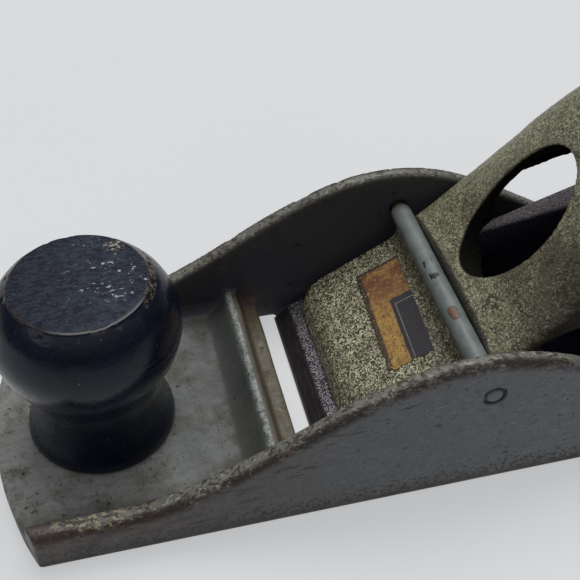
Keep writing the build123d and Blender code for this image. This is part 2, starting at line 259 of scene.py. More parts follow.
class Paint:
    """Writes a shader graph; positions are in millimetres in the row frame."""

    def __init__(self, name):
        self.material = bpy.data.materials.new(name)
        self.material.use_nodes = True
        self.tree = self.material.node_tree
        self.bsdf = self.tree.nodes["Principled BSDF"]
        coordinates = self.tree.nodes.new("ShaderNodeTexCoord").outputs["Object"]
        scaled = self.node("ShaderNodeVectorMath", coordinates, [1 / MM] * 3, operation="MULTIPLY")
        self.at = scaled.outputs[0]
        self.x, self.y, self.z = self.node("ShaderNodeSeparateXYZ", self.at).outputs
        self.side = self.math("ABSOLUTE", self.y)
        facing = self.tree.nodes.new("ShaderNodeNewGeometry").outputs["Normal"]
        self.facing = self.node("ShaderNodeSeparateXYZ", facing).outputs

    def node(self, kind, *inputs, **settings):
        node = self.tree.nodes.new(kind)
        for key, value in settings.items():
            setattr(node, key, value)
        for i, value in enumerate(inputs):
            self.put(node.inputs[i], value)
        return node

    def put(self, socket, value):
        """Links a socket or sets its value; a colour is given as (r, g, b), 0 to 255."""
        if isinstance(value, bpy.types.NodeSocket):
            self.tree.links.new(value, socket)
        elif value is not None:
            is_colour = socket.type == "RGBA" and len(value) == 3
            socket.default_value = srgb(*value) if is_colour else value

    def fill(self, node, **values):
        """Puts values into the inputs of the same names, written with underscores."""
        for name, value in values.items():
            self.put(node.inputs[name.replace("_", " ")], value)
        return node

    def math(self, operation, a, b=0.0, c=0.0):
        return self.node("ShaderNodeMath", a, b, c, operation=operation).outputs[0]

    def add(self, a, b):
        return self.math("ADD", a, b)

    def sub(self, a, b):
        return self.math("SUBTRACT", a, b)

    def most(self, *values):
        return reduce(lambda a, b: self.math("MAXIMUM", a, b), values)

    def mul(self, *values):
        return reduce(lambda a, b: self.math("MULTIPLY", a, b), values)

    def length(self, a, b):
        return self.math("SQRT", self.add(self.mul(a, a), self.mul(b, b)))

    def invert(self, a):
        return self.sub(1.0, a)

    def step(self, value, low, high):
        """Smooth 0 to 1 as value goes from low to high; works downwards as well."""
        node = self.node("ShaderNodeMapRange", value, low, high, interpolation_type="SMOOTHSTEP")
        return node.outputs["Result"]

    def band(self, value, centre, half, edge):
        """1 inside centre +- half, fading out over edge."""
        away = self.math("ABSOLUTE", self.sub(value, centre))
        return self.step(away, half + edge, half)

    def shifted(self, stretch, seed):
        """Position stretched along the axes and moved, so that each pattern has its own place."""
        place = (seed * 37.0, seed * 23.0, seed * 11.0)
        return self.node("ShaderNodeVectorMath", self.at, stretch, place, operation="MULTIPLY_ADD").outputs[0]

    def noise(self, size, detail, rough, seed=0.0, stretch=(1, 1, 1), distort=0.0):
        """Noise with features about size millimetres across, 0 to 1."""
        node = self.node("ShaderNodeTexNoise", self.shifted(stretch, seed))
        self.fill(node, Scale=1.0 / size, Detail=detail, Roughness=rough, Distortion=distort)
        return node.outputs[0]

    def patch(self, low, high, *noise_settings):
        """Noise turned into patches: 0 below low, 1 above high."""
        return self.step(self.noise(*noise_settings), low, high)

    def cells(self, size, stretch=(1, 1, 1), seed=0.0):
        """Distance to the nearest of scattered points, and a random value for each."""
        node = self.node("ShaderNodeTexVoronoi", self.shifted(stretch, seed))
        self.fill(node, Scale=1.0 / size)
        chance = self.node("ShaderNodeSeparateColor", node.outputs["Color"]).outputs[0]
        return node.outputs["Distance"], chance

    def specks(self, size, radius, share, seed=0.0, stretch=(1, 1, 1)):
        """Scattered round spots: radius as a share of the spacing, share of cells that have one."""
        distance, chance = self.cells(size, stretch, seed)
        spot = self.step(distance, radius, radius * 0.5)
        return self.mul(spot, self.step(chance, 1 - share, 1 - share + 0.02))

    def flecks(self, size, level, seed, stretch=(1, 1, 1)):
        """Crisp irregular flecks; a higher level leaves fewer of them."""
        above = self.sub(self.noise(size, 2.0, 0.5, seed, stretch), level)
        return self.step(above, 0.0, 0.03)

    def mix(self, amount, a, b):
        node = self.fill(self.node("ShaderNodeMix", data_type="RGBA"), Factor=amount)
        self.put(node.inputs[6], a)
        self.put(node.inputs[7], b)
        return node.outputs[2]

    def layers(self, base, *layers):
        """Paints layers over a base colour: each is its amounts, multiplied together, and its colour."""
        for *amounts, colour in layers:
            base = self.mix(self.mul(*amounts), base, colour)
        return base

    def blend(self, amount, a, b):
        return self.node("ShaderNodeMix", amount, None, a, b).outputs[0]

    def attribute(self, name):
        return self.node("ShaderNodeAttribute", attribute_name=name).outputs["Fac"]

    def finish(self, colour, roughness, height, depth, metallic=0.0, coat=0.0, specular=0.5):
        """Connects the colours; height is 0 to 1 and depth its size in millimetres."""
        bump = self.fill(self.node("ShaderNodeBump"), Strength=1.0, Distance=depth * MM, Height=height)
        self.fill(
            self.bsdf, Base_Color=colour, Roughness=roughness, Metallic=metallic,
            Specular_IOR_Level=specular, Coat_Weight=coat, Coat_Roughness=0.12, Normal=bump.outputs[0],
        )
        return self.material


def body_enamel():
    p = Paint("worn_grey_enamel")
    side = p.side
    turned_out = p.mul(p.y, p.facing[1])
    outer = p.mul(p.step(side, 24.6, 25.2), p.step(turned_out, 14, 21))
    wall = p.mul(p.step(turned_out, -4, -13), p.step(side, 24, 23.2))
    inside = p.invert(outer)
    below = p.mul(p.attribute("below"), 10)
    cloud = p.noise(9, 4, 0.6)
    fine = p.noise(0.5, 3, 0.65, 3)
    tiny = p.noise(0.36, 4, 0.75, 83)
    inner_paint = p.mix(p.step(cloud, 0.3, 0.7), (86, 90, 88), (108, 112, 106))
    # the outer sides take a darker, bluer copy of the same enamel: painted shade on the sides
    shaded_outer_paint = p.mix(p.step(cloud, 0.3, 0.72), (79, 82, 85), (94, 97, 101))
    mottle = p.noise(1, 5, 0.75, 81)
    tone = p.layers(
        p.mix(outer, inner_paint, shaded_outer_paint),
        (p.step(mottle, 0.48, 0.68), 0.45, (62, 62, 58)),
        (p.step(mottle, 0.46, 0.3), 0.4, (134, 138, 134)),
        (p.step(tiny, 0.52, 0.62), 0.4, (54, 53, 48)),
    )
    # grime gathers on the floor; the floor is darker in its corners and the inner walls darker below the rim;
    # painted light and shade on the floor round the knob and on the ridge
    stain = p.patch(0.46, 0.68, 6, 5, 0.65, 7)
    floor = p.mul(inside, p.step(p.z, 7.5, 4.6), p.invert(wall))
    corner = p.mul(inside, p.step(p.z, 9, 5), p.step(side, 15.5, 22))
    mouth = p.mul(floor, p.band(p.x, -38.8, 2.4, 1.4))
    ridge_end = p.mul(inside, p.band(p.x, -39.6, 2.6, 2), p.step(p.y, 14, 21), p.step(p.z, 9.5, 6.5))
    crest = p.mul(inside, p.band(p.x, -42.9, 0.4, 0.4), p.step(p.z, 7.4, 8.2), p.step(side, 23, 21.5))
    between_walls = p.step(side, 23, 21)
    broken = p.noise(2.2, 5, 0.7, 11)
    breaks = p.step(broken, 0.4, 0.62)
    spots = p.mul(p.specks(0.9, 0.24, 0.3, 85), p.patch(0.42, 0.6, 5, 3, 0.6, 87))
    tone = p.layers(
        tone,
        # painted shade on the floor on the knob's heel side, painted light towards the toe
        (floor, p.step(p.x, -64, -54), 0.55, (76, 81, 82)),
        (floor, p.step(p.x, -66, -82), 0.55, (142, 143, 140)),
        (floor, p.step(p.y, -2, -12), p.step(p.x, -54, -60), 0.45, (146, 149, 146)),
        (floor, p.patch(0.52, 0.72, 4.5, 4, 0.6, 29), 0.35, (124, 130, 128)),
        (floor, p.patch(0.42, 0.7, 1.6, 4, 0.65, 37, (0.25, 1, 1)), 0.35, (84, 82, 74)),
        (floor, stain, 0.6, (76, 70, 58)),
        (p.mul(floor, p.step(p.y, -16, -22)), p.add(0.35, p.mul(breaks, 0.45)), (66, 60, 44)),
        # the floor darker in its corners along the walls
        (corner, 0.6, (40, 39, 37)),
        (mouth, 0.75, (86, 80, 60)),
        (mouth, breaks, 0.45, (84, 66, 48)),
        (mouth, p.flecks(0.9, 0.56, 105), 0.6, (66, 56, 42)),
        (mouth, p.flecks(0.8, 0.64, 107), 0.6, (132, 118, 78)),
        # painted shade at the foot and on the toe-facing flank of the ridge
        (p.mul(floor, p.band(p.x, -47.2, 2, 3.4)), p.add(0.45, p.mul(breaks, 0.35)), (56, 55, 50)),
        (inside, p.band(p.x, -45.7, 1.6, 0.7), between_walls, 0.65, (52, 54, 52)),
        (inside, p.band(p.x, -41, 1.1, 0.5), between_walls, 0.75, (66, 56, 42)),
        # the crest painted pale: rubbed paint and a painted highlight
        (crest, p.step(mottle, 0.6, 0.44), (142, 148, 140)),
        (crest, p.step(tiny, 0.53, 0.6), 0.8, (60, 58, 50)),
        (p.step(p.x, -77, -86), inside, stain, 0.25, (76, 66, 54)),
        (floor, spots, 0.7, (50, 44, 36)),
        (floor, p.flecks(0.7, 0.6, 109), p.add(0.25, p.mul(stain, 0.4)), (52, 48, 40)),
        # the inner walls darker from just below the rim down, bluish further down
        (wall, p.step(below, -1.4, 0.9), 0.82, (52, 50, 52)),
        (wall, p.step(below, 1, 6), 0.45, (52, 52, 68)),
        (wall, p.patch(0.45, 0.7, 3, 4, 0.7, 43), 0.3, (62, 54, 46)),
        (ridge_end, breaks, 0.75, (92, 67, 47)),
    )
    # the sides: grime low down and at the toe, a painted shadow along the foot, long dark smears, a few chips
    # and pale scratches
    foot_specks = p.flecks(0.7, p.blend(p.step(p.z, 1.5, 8), 0.5, 0.68), 111)
    toe_specks = p.flecks(1.3, 0.52, 113, (0.6, 1, 1))
    base_grime = p.patch(0.32, 0.62, 4, 4, 0.65, 21)
    toe_grime = p.mul(outer, p.step(p.x, -26, -70), p.patch(0.2, 0.54, 4, 5, 0.7, 17))
    smears = p.flecks(0.9, 0.6, 47, (0.16, 1, 0.8))
    smear_zone = p.patch(0.42, 0.56, 9, 3, 0.6, 115)
    smear = p.mul(outer, smears, smear_zone, p.step(p.x, 4, -24), p.step(below, 13, 7))
    scratch = p.patch(0.72, 0.76, 0.3, 2, 0.4, 5, (0.03, 1, 1), 0.3)
    chips = p.most(p.specks(4.2, 0.15, 0.45, 2, (0.7, 1, 1)), p.specks(1.9, 0.19, 0.28, 9))
    specks = p.mul(p.specks(0.8, 0.26, 0.3, 4), p.patch(0.38, 0.58, 7, 3, 0.6, 51))
    ragged = p.patch(0.42, 0.52, 0.9, 5, 0.75, 53)
    tone = p.layers(
        tone,
        (outer, p.step(p.x, 10, -50), 0.3, (54, 52, 49)),
        (toe_grime, p.add(0.55, p.mul(p.step(mottle, 0.4, 0.6), 0.35)), (70, 57, 46)),
        (outer, p.step(p.x, -34, -74), toe_specks, 0.65, (42, 35, 30)),
        (outer, p.step(p.z, 5.5, 0.8), base_grime, 0.7, (52, 46, 41)),
        # near-black band along the foot of the sides: painted shadow where the casting meets the floor
        (outer, p.step(p.add(p.z, p.mul(mottle, 2)), 3.4, 1.6), 0.9, (24, 21, 20)),
        (outer, foot_specks, 0.85, (24, 20, 19)),
        (smear, 0.8, (38, 38, 38)),
        (scratch, p.patch(0.5, 0.62, 11, 3, 0.6, 41), 0.7, (150, 150, 138)),
        (outer, p.flecks(0.8, 0.68, 8, (0.5, 1, 0.8)), 0.8, (30, 29, 29)),
        (specks, 0.8, (44, 38, 33)),
        (chips, ragged, 0.95, (28, 24, 22)),
    )
    # the rims are rubbed to a pale band, with brown-black pitting along the outer shoulder
    rim = p.attribute("rim")
    shoulder = p.attribute("shoulder")
    threshold = p.blend(p.patch(0.36, 0.6, 9, 3, 0.6, 57), 0.54, 0.42)
    crust = p.sub(p.noise(0.6, 5, 0.82, 33, (0.7, 1, 1)), threshold)
    brown = p.mul(shoulder, p.step(crust, -0.01, 0.03))
    toe_rust = p.mul(p.step(p.x, -76, -82.5), p.most(rim, shoulder), p.step(broken, 0.3, 0.48))
    speckled = p.blend(p.patch(0.36, 0.56, 5, 3, 0.6, 91), 0.64, 0.52)
    top_specks = p.mul(rim, p.flecks(0.7, speckled, 89, (0.7, 1, 1)), 0.85)
    pale_specks = p.mul(p.most(rim, p.mul(shoulder, 0.6)), p.flecks(0.6, 0.6, 117, (0.7, 1, 1)))
    ivory = p.mul(rim, p.band(p.x, -74.5, 3.5, 4), p.flecks(0.7, 0.52, 59, (0.6, 1, 1)))
    tone = p.layers(
        tone,
        (rim, p.step(fine, 0.25, 0.6), 0.6, (106, 102, 88)),
        (pale_specks, 0.6, (156, 154, 142)),
        (ivory, 0.8, (164, 156, 126)),
        (shoulder, p.patch(0.36, 0.62, 3, 4, 0.7, 61), 0.6, (80, 58, 46)),
        (top_specks, (58, 42, 33)),
        (brown, 0.9, (42, 29, 25)),
        (toe_rust, 0.8, (62, 46, 42)),
        # groove round the rod's end: a dark joint, with painted shade on its heel and lower side
        (p.attribute("ring"), 0.96, (10, 9, 9)),
    )
    height = p.add(p.mul(fine, 0.35), p.mul(p.noise(2.4, 3, 0.5, 23), 0.5))
    holes = (chips, 0.9), (brown, 0.7), (top_specks, 0.5), (smear, 0.2), (scratch, 0.1), (specks, 0.3)
    for hole, depth in holes:
        height = p.sub(height, p.mul(hole, depth))
    rough = p.blend(p.step(cloud, 0.3, 0.7), 0.4, 0.54)
    rough = p.blend(p.most(p.mul(floor, stain), p.most(brown, wall)), rough, 0.75)
    return p.finish(tone, rough, height, 0.11, specular=0.42)


def rod_enamel():
    p = Paint("worn_rod_enamel")
    cloud = p.noise(3, 4, 0.6, 2)
    along = p.noise(0.9, 4, 0.65, 6, (1, 0.4, 1))
    around = p.math("ARCTAN2", p.sub(p.x, ROD_X), p.sub(p.z, ROD_Z))
    chip_shape = p.mul(p.band(p.y, CHIP_Y, 0.5, 1.9), p.band(around, -0.35, 0.1, 0.7))
    big_chip = p.step(p.add(chip_shape, p.mul(p.noise(0.6, 4, 0.7, 15), 0.6)), 0.72, 0.82)
    pock = p.mul(p.band(p.y, POCK_Y, 3.2, 0.6), p.band(around, -0.35, 0.42, 0.2))
    pocks = p.mul(pock, p.flecks(1.3, 0.57, 27, (1, 0.7, 1)))
    end = p.mul(p.step(p.side, 19.5, 22.5), p.step(p.side, 25.3, 25))
    shadowed = p.mul(p.step(p.side, 21.1, 22), p.step(p.side, 24.9, 24.4))
    tone = p.layers(
        p.mix(p.step(cloud, 0.35, 0.7), (92, 100, 98), (108, 115, 112)),
        (p.step(along, 0.55, 0.72), 0.5, (100, 96, 84)),
        # painted shade on the downward-facing side of the rod
        (p.step(p.facing[2], 0.25, -0.3), 0.5, (70, 72, 70)),
        (end, p.patch(0.35, 0.6, 1.2, 4, 0.7, 18), 0.8, (108, 84, 60)),
        (shadowed, 0.85, (38, 32, 29)),
        (big_chip, 0.9, (48, 38, 32)),
        (p.step(chip_shape, 0.52, 0.68), 0.9, (96, 66, 48)),
        (p.specks(0.8, 0.2, 0.07, 12), 0.6, (52, 48, 44)),
        (pocks, 0.97, (14, 12, 12)),
        (p.step(p.side, 24.9, 25.2), (80, 84, 88)),
    )
    height = p.sub(p.mul(along, 0.5), p.most(pocks, p.mul(big_chip, 0.8)))
    return p.finish(tone, p.blend(p.step(cloud, 0.3, 0.7), 0.34, 0.5), height, 0.07)


def hammered_enamel():
    p = Paint("speckled_cap_enamel")
    grain, pick = p.cells(0.3, seed=1)
    small_pick = p.cells(0.22, seed=5)[1]
    fine = p.noise(0.3, 4, 0.7, 4)
    cloud = p.noise(10, 3, 0.6, 8)
    plate = p.step(p.x, -7, -9.5)
    contrast = p.add(0.46, p.mul(plate, 0.5))
    tone = p.layers(
        p.mix(p.step(cloud, 0.3, 0.7), (98, 97, 74), (112, 111, 86)),
        (plate, 0.5, (122, 121, 94)),
        (p.step(pick, 0.62, 0.68), contrast, (166, 164, 132)),
        (p.step(small_pick, 0.8, 0.84), contrast, (206, 206, 176)),
        (p.step(pick, 0.34, 0.28), contrast, (54, 51, 37)),
        (p.step(small_pick, 0.2, 0.16), contrast, (18, 16, 13)),
    )
    # brown grime on the near side of the dome, along the nose and in scuffed streaks; the dome's near edge,
    # curling under, is painted near-black as grime and painted shade
    grime = p.patch(0.42, 0.62, 5.5, 5, 0.65, 10)
    dome = p.step(p.x, -6, 0)
    dome_side = p.mul(p.step(p.x, -3, 5), p.step(p.y, -5, -14))
    # near-black where the dome's near side turns downwards: grime and painted shade
    grime_and_shade_curl = p.mul(dome, p.step(p.add(p.y, p.mul(grime, 2)), -11, -17.5), p.step(p.facing[2], 0.9, 0.35))
    # painted shadow in the groove behind the cross rod
    shadow_behind_rod = p.mul(p.step(p.x, -5.75, -6.25), p.step(p.x, -8, -7.2), p.step(p.z, 18, 20))
    streak = p.patch(0.56, 0.64, 1.1, 5, 0.75, 20, (1, 0.5, 0.5))
    cracks = p.mul(streak, p.patch(0.45, 0.58, 8, 3, 0.6, 24))
    long_cracks = p.mul(p.band(p.noise(7, 3, 0.55, 63), 0.5, 0.004, 0.006), p.step(p.y, -4, -9))
    before_rod = p.patch(0.4, 0.62, 2.4, 4, 0.65, 67)
    chipped = p.patch(0.4, 0.55, 6, 3, 0.6, 127)
    # near-black inside the dome: the unpainted inside, with painted shade on faces turned downwards
    inner = p.attribute("inner")
    tone = p.layers(
        tone,
        (dome_side, p.add(0.4, p.mul(grime, 0.45)), (56, 49, 36)),
        (grime_and_shade_curl, 0.9, (25, 22, 19)),
        (grime, 0.25, (80, 70, 50)),
        (p.step(p.x, -23.6, -26.5), p.patch(0.3, 0.6, 3, 4, 0.6, 14), 0.5, (70, 60, 40)),
        (plate, p.step(p.x, -15.5, -11.5), before_rod, 0.5, (66, 54, 36)),
        (dome, p.step(p.x, 7, 14), p.flecks(1.4, 0.61, 93, (1, 1, 0.7)), 0.75, (80, 48, 31)),
        (chipped, p.flecks(0.9, 0.66, 129, (1, 1, 0.7)), 0.7, (42, 34, 25)),
        (cracks, 0.8, (48, 34, 24)),
        (long_cracks, 0.8, (40, 32, 25)),
        (p.specks(2.8, 0.13, 0.35, 30), 0.85, (34, 30, 26)),
        (shadow_behind_rod, 0.85, (22, 20, 18)),
        (p.attribute("edge"), p.step(fine, 0.35, 0.55), 0.7, (58, 46, 33)),
        (inner, 0.98, (11, 10, 11)),
    )
    height = p.add(p.mul(p.step(grain, 0.1, 0.6), 0.5), p.mul(fine, 0.7))
    height = p.sub(height, p.mul(p.most(cracks, long_cracks), 0.6))
    rough = p.blend(pick, 0.34, 0.62)
    dull = p.most(inner, p.mul(grime_and_shade_curl, 0.8))
    return p.finish(tone, p.blend(dull, rough, 0.9), height, 0.085, specular=p.blend(dull, 0.5, 0.06))


def dark_steel():
    p = Paint("oxidised_cutter_steel")
    c, s = math.cos(BED_ANGLE), math.sin(BED_ANGLE)
    along = p.add(p.mul(p.sub(p.x, EDGE_X), c), p.mul(p.sub(p.z, EDGE_Z), s))
    grain, pick = p.cells(0.17, seed=1)
    brushed = p.noise(0.25, 3, 0.5, 6, (1, 0.05, 1))
    cloud = p.noise(5, 4, 0.6, 2)
    beyond = p.step(along, 3.2, 4)
    bevelled = p.invert(beyond)
    clean = p.add(0.25, p.mul(p.step(along, 34, 14), 0.6))
    # painted shadow of the lever cap's dome on the cutter, short of the far edge
    dome_shadow_edge = p.sub(p.add(p.y, cloud), p.sub(27, p.mul(along, 0.17)))
    dome_shadow = p.mul(p.step(along, 33, 36), p.step(dome_shadow_edge, 0.8, -0.6))
    dome_shadow = p.mul(dome_shadow, p.step(p.add(along, p.mul(cloud, 10)), 94, 80))
    tone = p.layers(
        p.mix(p.step(cloud, 0.35, 0.7), (40, 35, 38), (54, 47, 49)),
        (beyond, p.step(pick, 0.6, 0.72), clean, (158, 155, 162)),
        (beyond, p.step(pick, 0.3, 0.2), 0.8, (22, 19, 23)),
        (bevelled, 0.75, (36, 33, 34)),
        (bevelled, p.step(brushed, 0.52, 0.7), 0.5, (84, 76, 72)),
        (p.step(along, 0.6, 0.1), 0.6, (112, 106, 100)),
        (p.patch(0.54, 0.68, 2.6, 5, 0.7, 9), 0.4, (66, 46, 36)),
        (dome_shadow, 0.95, (12, 14, 22)),
    )
    height = p.add(p.mul(p.step(grain, 0.1, 0.7), 0.5), p.mul(brushed, 0.4))
    rough = p.blend(dome_shadow, p.blend(pick, 0.38, 0.62), 0.8)
    bright = p.invert(dome_shadow)
    return p.finish(tone, rough, height, 0.04, metallic=p.mul(bright, 0.35), specular=p.mul(bright, 0.35))


def plain_steel():
    p = Paint("handled_steel")
    cloud = p.noise(2.5, 5, 0.65, 2)
    fine = p.noise(0.3, 4, 0.6, 5, (1, 1, 0.4))
    tone = p.layers(
        p.mix(p.step(cloud, 0.35, 0.65), (128, 124, 118), (158, 154, 148)),
        (p.patch(0.52, 0.66, 1.4, 5, 0.7, 8), 0.6, (84, 62, 46)),
        (p.specks(0.9, 0.24, 0.2, 3), 0.7, (40, 34, 30)),
    )
    return p.finish(tone, p.blend(fine, 0.28, 0.5), fine, 0.03, metallic=0.85)


def printed_label():
    p = Paint("worn_printed_label")
    u, v = p.attribute("across"), p.attribute("along")
    fine = p.noise(0.35, 4, 0.7, 2)
    cloud = p.noise(3.2, 4, 0.65, 5)
    blot = p.noise(1.2, 5, 0.75, 9)
    # plain dark block on the rear half, with a thin pale line just inside it
    block = p.mul(p.step(p.add(u, p.mul(blot, 0.03)), 0.515, 0.53), p.step(v, 0.63, 0.615))
    printed = p.step(fine, 0.34, 0.46)
    line = p.mul(p.band(u, 0.6, 0.007, 0.007), p.step(v, 0.565, 0.56), printed)
    cross_line = p.mul(p.band(v, 0.562, 0.0035, 0.003), p.step(u, 0.59, 0.6), printed)
    ragged = p.add(u, p.mul(p.sub(blot, 0.5), 0.1))
    border = p.most(p.step(ragged, 0.13, 0.1), p.step(v, 0.97, 0.98), p.step(u, 0.975, 0.985))
    worn = p.patch(0.58, 0.65, 0.9, 5, 0.75, 12)
    yellow = p.invert(block)
    tone = p.layers(
        p.mix(p.step(v, 0.5, 0.8), (156, 122, 62), (104, 64, 38)),
        (p.step(cloud, 0.45, 0.7), 0.55, (184, 146, 78)),
        (p.step(blot, 0.46, 0.62), 0.6, (98, 62, 34)),
        (border, 0.9, (42, 35, 34)),
        (block, 0.96, (29, 32, 44)),
        (p.most(line, cross_line), 0.6, (140, 138, 126)),
        (worn, yellow, 0.5, (122, 112, 84)),
        (worn, block, 0.35, (84, 82, 82)),
        (p.specks(0.8, 0.27, 0.4, 3), 0.85, (50, 34, 24)),
        (p.specks(1.9, 0.16, 0.35, 14), 0.9, (38, 28, 22)),
        (p.flecks(0.6, 0.58, 119), yellow, 0.55, (72, 48, 30)),
        (p.flecks(0.5, 0.64, 121), yellow, 0.6, (196, 160, 96)),
    )
    height = p.add(fine, p.mul(worn, -0.5))
    return p.finish(tone, p.blend(cloud, 0.38, 0.58), height, 0.05, specular=0.45)


def black_lacquer():
    p = Paint("worn_black_lacquer")
    dx = p.sub(p.x, KNOB_X)
    radius = p.length(dx, p.y)
    top = p.mul(p.step(p.z, 37.6, 37.95), p.step(radius, 10.9, 10.6))
    rim = p.mul(p.band(radius, 10.98, 0.05, 0.12), p.step(p.z, 37.2, 37.6))
    cloud = p.noise(7, 4, 0.6, 2)
    fine = p.noise(0.7, 4, 0.7, 6)
    grain = p.noise(0.5, 4, 0.7, 11, (0.35, 1, 1))
    hazy = p.mul(p.patch(0.36, 0.62, 4, 4, 0.65, 95), p.step(fine, 0.35, 0.65), p.step(dx, -6, 2))
    fibre = p.layers(
        p.mix(p.step(grain, 0.36, 0.66), (15, 20, 33), (28, 35, 50)),
        (hazy, 0.6, (58, 64, 78)),
        (p.flecks(0.5, 0.62, 123), 0.35, (70, 78, 92)),
    )
    tone = p.mix(top, p.mix(p.step(cloud, 0.35, 0.7), (5, 9, 24), (10, 15, 35)), fibre)
    broken = p.noise(1.5, 5, 0.75, 9)
    left = p.mul(p.step(dx, -3, -8), p.flecks(0.8, 0.46, 125), p.step(broken, 0.36, 0.5))
    left_wear = p.mul(p.band(radius, 10.95, 0.22, 0.22), p.step(p.z, 37.2, 37.6), left)
    worn_rim = p.most(p.mul(rim, p.step(broken, 0.36, 0.5)), left_wear)
    right = p.mul(p.step(dx, 8.9, 9.8), p.patch(0.48, 0.54, 1, 4, 0.75, 97))
    from_scar = p.length(p.sub(dx, 6.4), p.sub(p.y, 7))
    scar = p.mul(top, p.step(p.add(from_scar, p.mul(broken, 3.4)), 3.6, 3))
    marked = p.mul(top, p.step(dx, -3, 2.5), p.step(p.y, -8, -3))
    flake = p.sub(p.noise(0.75, 3, 0.6, 71, (0.7, 1.2, 1)), 0.1)
    clumps = p.patch(0.48, 0.64, 2.6, 3, 0.6, 73)
    nicks = p.mul(p.step(p.add(flake, p.mul(clumps, 0.11)), 0.57, 0.61), p.mul(marked, p.add(0.15, clumps)))
    ragged = p.patch(0.42, 0.5, 0.5, 4, 0.75, 103)
    tone = p.layers(
        tone,
        (scar, 0.8, (50, 43, 40)),
        (scar, p.patch(0.54, 0.6, 0.6, 3, 0.7, 99), 0.8, (170, 166, 160)),
        (worn_rim, 0.7, (58, 46, 40)),
        # pale line along the near part of the top edge: rubbed edge with a painted highlight
        (rim, p.step(p.y, -4, -8), p.step(dx, -7, -2), 0.75, (132, 130, 130)),
        (p.band(radius, 11.35, 0.45, 0.3), p.step(p.z, 36.3, 36.9), right, 0.8, (92, 82, 60)),
        (nicks, 0.85, (170, 176, 186)),
        (p.specks(1.5, 0.22, 0.16, 101), marked, ragged, 0.8, (190, 194, 200)),
        (p.specks(2.1, 0.1, 0.22, 44), p.step(p.z, 20, 24), 0.5, (120, 124, 132)),
        (p.patch(0.68, 0.73, 0.5, 2, 0.5, 15, (1, 1, 0.06), 0.8), 0.35, (60, 66, 80)),
        (p.patch(0.64, 0.72, 0.5, 2, 0.4, 19, (0.05, 0.05, 1), 0.2), 0.3, (50, 56, 70)),
    )
    height = p.add(p.mul(p.noise(2.8, 3, 0.5, 13), 0.7), p.mul(fine, 0.12))
    height = p.add(height, p.mul(top, grain, 0.25))
    height = p.sub(height, p.most(p.mul(worn_rim, 0.6), p.most(nicks, scar)))
    rough = p.blend(top, p.blend(p.step(fine, 0.35, 0.7), 0.2, 0.36), 0.62)
    rough = p.blend(p.most(worn_rim, scar), rough, 0.75)
    shine = p.blend(top, 0.28, p.blend(p.step(grain, 0.4, 0.6), 0.14, 0.26))
    return p.finish(tone, rough, height, 0.07, coat=p.mul(p.invert(top), 0.05), specular=shine)


# ---- pieces

def store(obj, name, values):
    layer = obj.data.attributes.new(name, "FLOAT", "POINT")
    layer.data.foreach_set("value", np.asarray(values, np.float32))


def refine(obj, chosen):
    """Subdivides the faces whose corners are all chosen."""
    build = bmesh.new()
    build.from_mesh(obj.data)
    build.verts.ensure_lookup_table()
    keep = [f for f in build.faces if all(chosen[v.index] for v in f.verts)]
    edges = list({e for f in keep for e in f.edges})
    bmesh.ops.subdivide_edges(build, edges=edges, cuts=4, use_grid_fill=True)
    build.to_mesh(obj.data)
    build.free()


def build_body():
    """The casting, taken from its CAD node, with its edges softened, worn and pitted."""
    body = add_object("body_casting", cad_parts["body"].data.copy())
    body.data.materials.clear()
    remesh(body, 0.45, 2)
    v = points_of(body)
    from_rod = np.hypot(v[:, 0] - ROD_X, v[:, 2] - ROD_Z)
    refine(body, (np.abs(v[:, 1]) > 24.2) & (from_rod < 4.2))
    v, n = points_of(body), normals_of(body)
    side = np.abs(v[:, 1])
    below = rim_height(v[:, 0]) - v[:, 2]
    on_rim = (side > 21.6) & (v[:, 2] > 6.4)
    rim = np.where(on_rim, smooth(-below, -0.9, -0.3), 0.0)
    shoulder = np.where(on_rim & (side > 24.3), smooth(-below, -2.8, -0.5) * smooth(side, 24.3, 24.9), 0.0)
    near = np.nonzero(rim + shoulder > 0.01)[0]
    bite = np.zeros(len(v))
    bite[near] = smooth(fractal(v[near], 0.5, 4), 0.15, 0.75) * 0.20
    bite[near] += smooth(fractal(v[near] + 40, 1.3, 3), 0.2, 0.8) * 0.10
    v -= n * (bite * np.maximum(shoulder, rim * 0.4))[:, None]
    # cast surfaces are never quite flat
    wave = fractal(v + 90, 0.12, 2) * 0.10
    v += n * np.where(v[:, 2] < 0.6, 0.0, wave)[:, None]
    v[:, 2] = np.maximum(v[:, 2], 0.0)
    from_rod = np.hypot(v[:, 0] - ROD_X, v[:, 2] - ROD_Z)
    groove = smooth(from_rod, 1.35, 1.5) * smooth(from_rod, 2.15, 1.92) * (side > 24.6)
    v[:, 1] -= np.sign(v[:, 1]) * groove * (0.55 - np.minimum(BODY_HALF_WIDTH - side, 0.5))
    set_points(body, v)
    # ring: the groove round the rod's end, dark all round as a joint and darker on its heel and lower side as
    # painted shade
    lean = (v[:, 0] - ROD_X) - (v[:, 2] - ROD_Z)
    store(body, "ring", groove * (0.12 + 0.88 * smooth(lean, -1.2, 0.6)))
    store(body, "rim", rim)
    store(body, "shoulder", shoulder)
    store(body, "below", clamp(below / 10, 0, 4))
    return body


